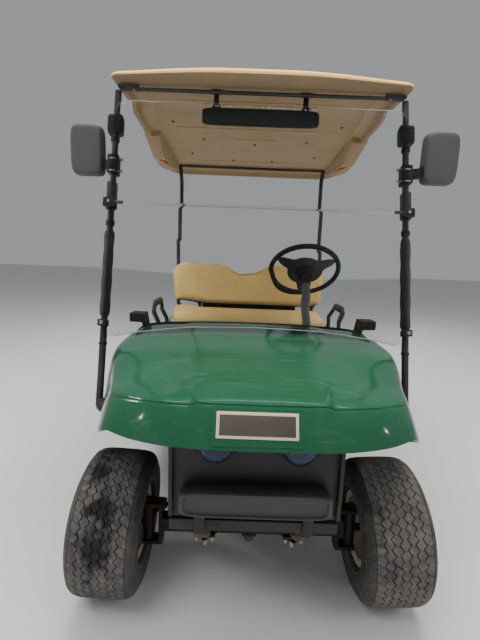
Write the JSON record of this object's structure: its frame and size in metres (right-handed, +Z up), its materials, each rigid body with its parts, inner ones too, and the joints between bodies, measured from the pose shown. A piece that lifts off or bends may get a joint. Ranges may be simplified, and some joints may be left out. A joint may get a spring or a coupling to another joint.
{
  "type": "golf cart",
  "caption": "Golf cart with a green cowl, cream roof on slim struts, folding clear windshield, tan bench seat and wide low tyres.",
  "frame": {"origin": "on the ground, under the middle of the cart's length and width", "axes": "+Z up, the nose points to -Y, +X to the driver's side, which is the cart's left"},
  "size_m": [1.466, 2.35, 1.8266],
  "materials": {
    "frame_steel": "satin black paint, dusty",
    "spring_steel": "dull, slightly rusty",
    "axle_steel": "dull, rusty at the yokes",
    "tyre_rubber": "worn and dusty",
    "rim_steel": "silver paint, dusty",
    "floor_mat": "matt rubber",
    "black_plastic": "moulded",
    "grey_plastic": "grained",
    "body_green": "glossy green with fine scratches",
    "lamp_lens": "clear",
    "grey_metal": "satin",
    "black_rubber": "grained",
    "battery_case": "plain block",
    "tan_vinyl": "grained vinyl",
    "black_tube": "satin powder coat",
    "clear_acrylic": "clear with light scratches",
    "cream_plastic": "moulded, satin"
  },
  "bodies": {
    "chassis": {"frame_rails": "frame_steel", "frame_crossmembers": "frame_steel", "rear_bumper": "frame_steel", "front_leaf_springs": "spring_steel", "rear_leaf_springs": "spring_steel", "front_axle_beam": "axle_steel", "rear_axle": "axle_steel", "floorboard": "floor_mat", "rocker_panels": "black_plastic", "cowl": "body_green", "rear_body": "body_green", "front_panel": "black_plastic", "front_bumper": "grey_plastic", "headlamps": "lamp_lens", "dash": "black_plastic", "steering_column": "grey_metal", "pedals": "black_rubber", "seat_skirt": "black_plastic", "bag_well": "black_plastic", "battery_pack": "battery_case", "backrest": "tan_vinyl", "backrest_frame": "black_tube", "bag_rack": "black_tube", "hip_restraints": "black_tube", "sweater_basket": "black_plastic", "front_struts": "black_tube", "rear_struts": "black_tube", "roof_crossbars": "black_tube", "windshield_clamps": "black_plastic", "windshield_lower": "clear_acrylic", "windshield_upper": "clear_acrylic", "roof": "cream_plastic", "side_mirrors": "grey_plastic", "rear_view_mirror": "black_plastic"},
    "knuckle_left": {"knuckle_left": "axle_steel"},
    "knuckle_right": {"knuckle_right": "axle_steel"},
    "tie_rod": {"tie_rod": "axle_steel"},
    "steering_wheel": {"steering_wheel": "black_rubber"},
    "seat": {"seat_cushion": "tan_vinyl"},
    "front_wheel_left": {"front_tyre_left": "tyre_rubber", "front_rim_left": "rim_steel"},
    "front_wheel_right": {"front_tyre_right": "tyre_rubber", "front_rim_right": "rim_steel"},
    "rear_wheel_left": {"rear_tyre_left": "tyre_rubber", "rear_rim_left": "rim_steel"},
    "rear_wheel_right": {"rear_tyre_right": "tyre_rubber", "rear_rim_right": "rim_steel"}
  },
  "joints": [
    {"name": "steer_left", "type": "hinge", "parent": "chassis", "child": "knuckle_left", "pos_m": [0.345, -0.745, 0.22795], "axis": [0, 0, 1], "range_deg": [-28, 28]},
    {"name": "steer_right", "type": "hinge", "parent": "chassis", "child": "knuckle_right", "pos_m": [-0.345, -0.745, 0.22795], "axis": [0, 0, 1], "range_deg": [-28, 28]},
    {"name": "tie_rod_slide", "type": "slide", "parent": "chassis", "child": "tie_rod", "axis": [1, 0, 0], "range_m": [-0.054, 0.054]},
    {"name": "steering_wheel_turn", "type": "hinge", "parent": "chassis", "child": "steering_wheel", "pos_m": [0.25, 0.018, 1.064], "axis": [0, 0.682, 0.7314], "range_deg": [-336, 336]},
    {"name": "seat_lift", "type": "hinge", "parent": "chassis", "child": "seat", "pos_m": [0, 0.7013, 0.6947], "axis": [-1, 0, 0], "range_deg": [0, 45]},
    {"name": "front_wheel_left_spin", "type": "hinge", "parent": "knuckle_left", "child": "front_wheel_left", "pos_m": [0.45, -0.745, 0.23195], "axis": [0.9986, 0, 0.0523], "continuous": true},
    {"name": "rear_wheel_left_spin", "type": "hinge", "parent": "chassis", "child": "rear_wheel_left", "pos_m": [0.489, 0.919, 0.2285], "axis": [1, 0, 0], "continuous": true},
    {"name": "front_wheel_right_spin", "type": "hinge", "parent": "knuckle_right", "child": "front_wheel_right", "pos_m": [-0.45, -0.745, 0.23195], "axis": [0.9986, 0, -0.0523], "continuous": true},
    {"name": "rear_wheel_right_spin", "type": "hinge", "parent": "chassis", "child": "rear_wheel_right", "pos_m": [-0.489, 0.919, 0.2285], "axis": [1, 0, 0], "continuous": true}
  ],
  "couplings": [
    {"joint": "steer_right", "follows": "steer_left", "ratio": 1},
    {"joint": "tie_rod_slide", "follows": "steer_left", "m_per_rad": -0.11},
    {"joint": "steering_wheel_turn", "follows": "steer_left", "ratio": 12}
  ]
}
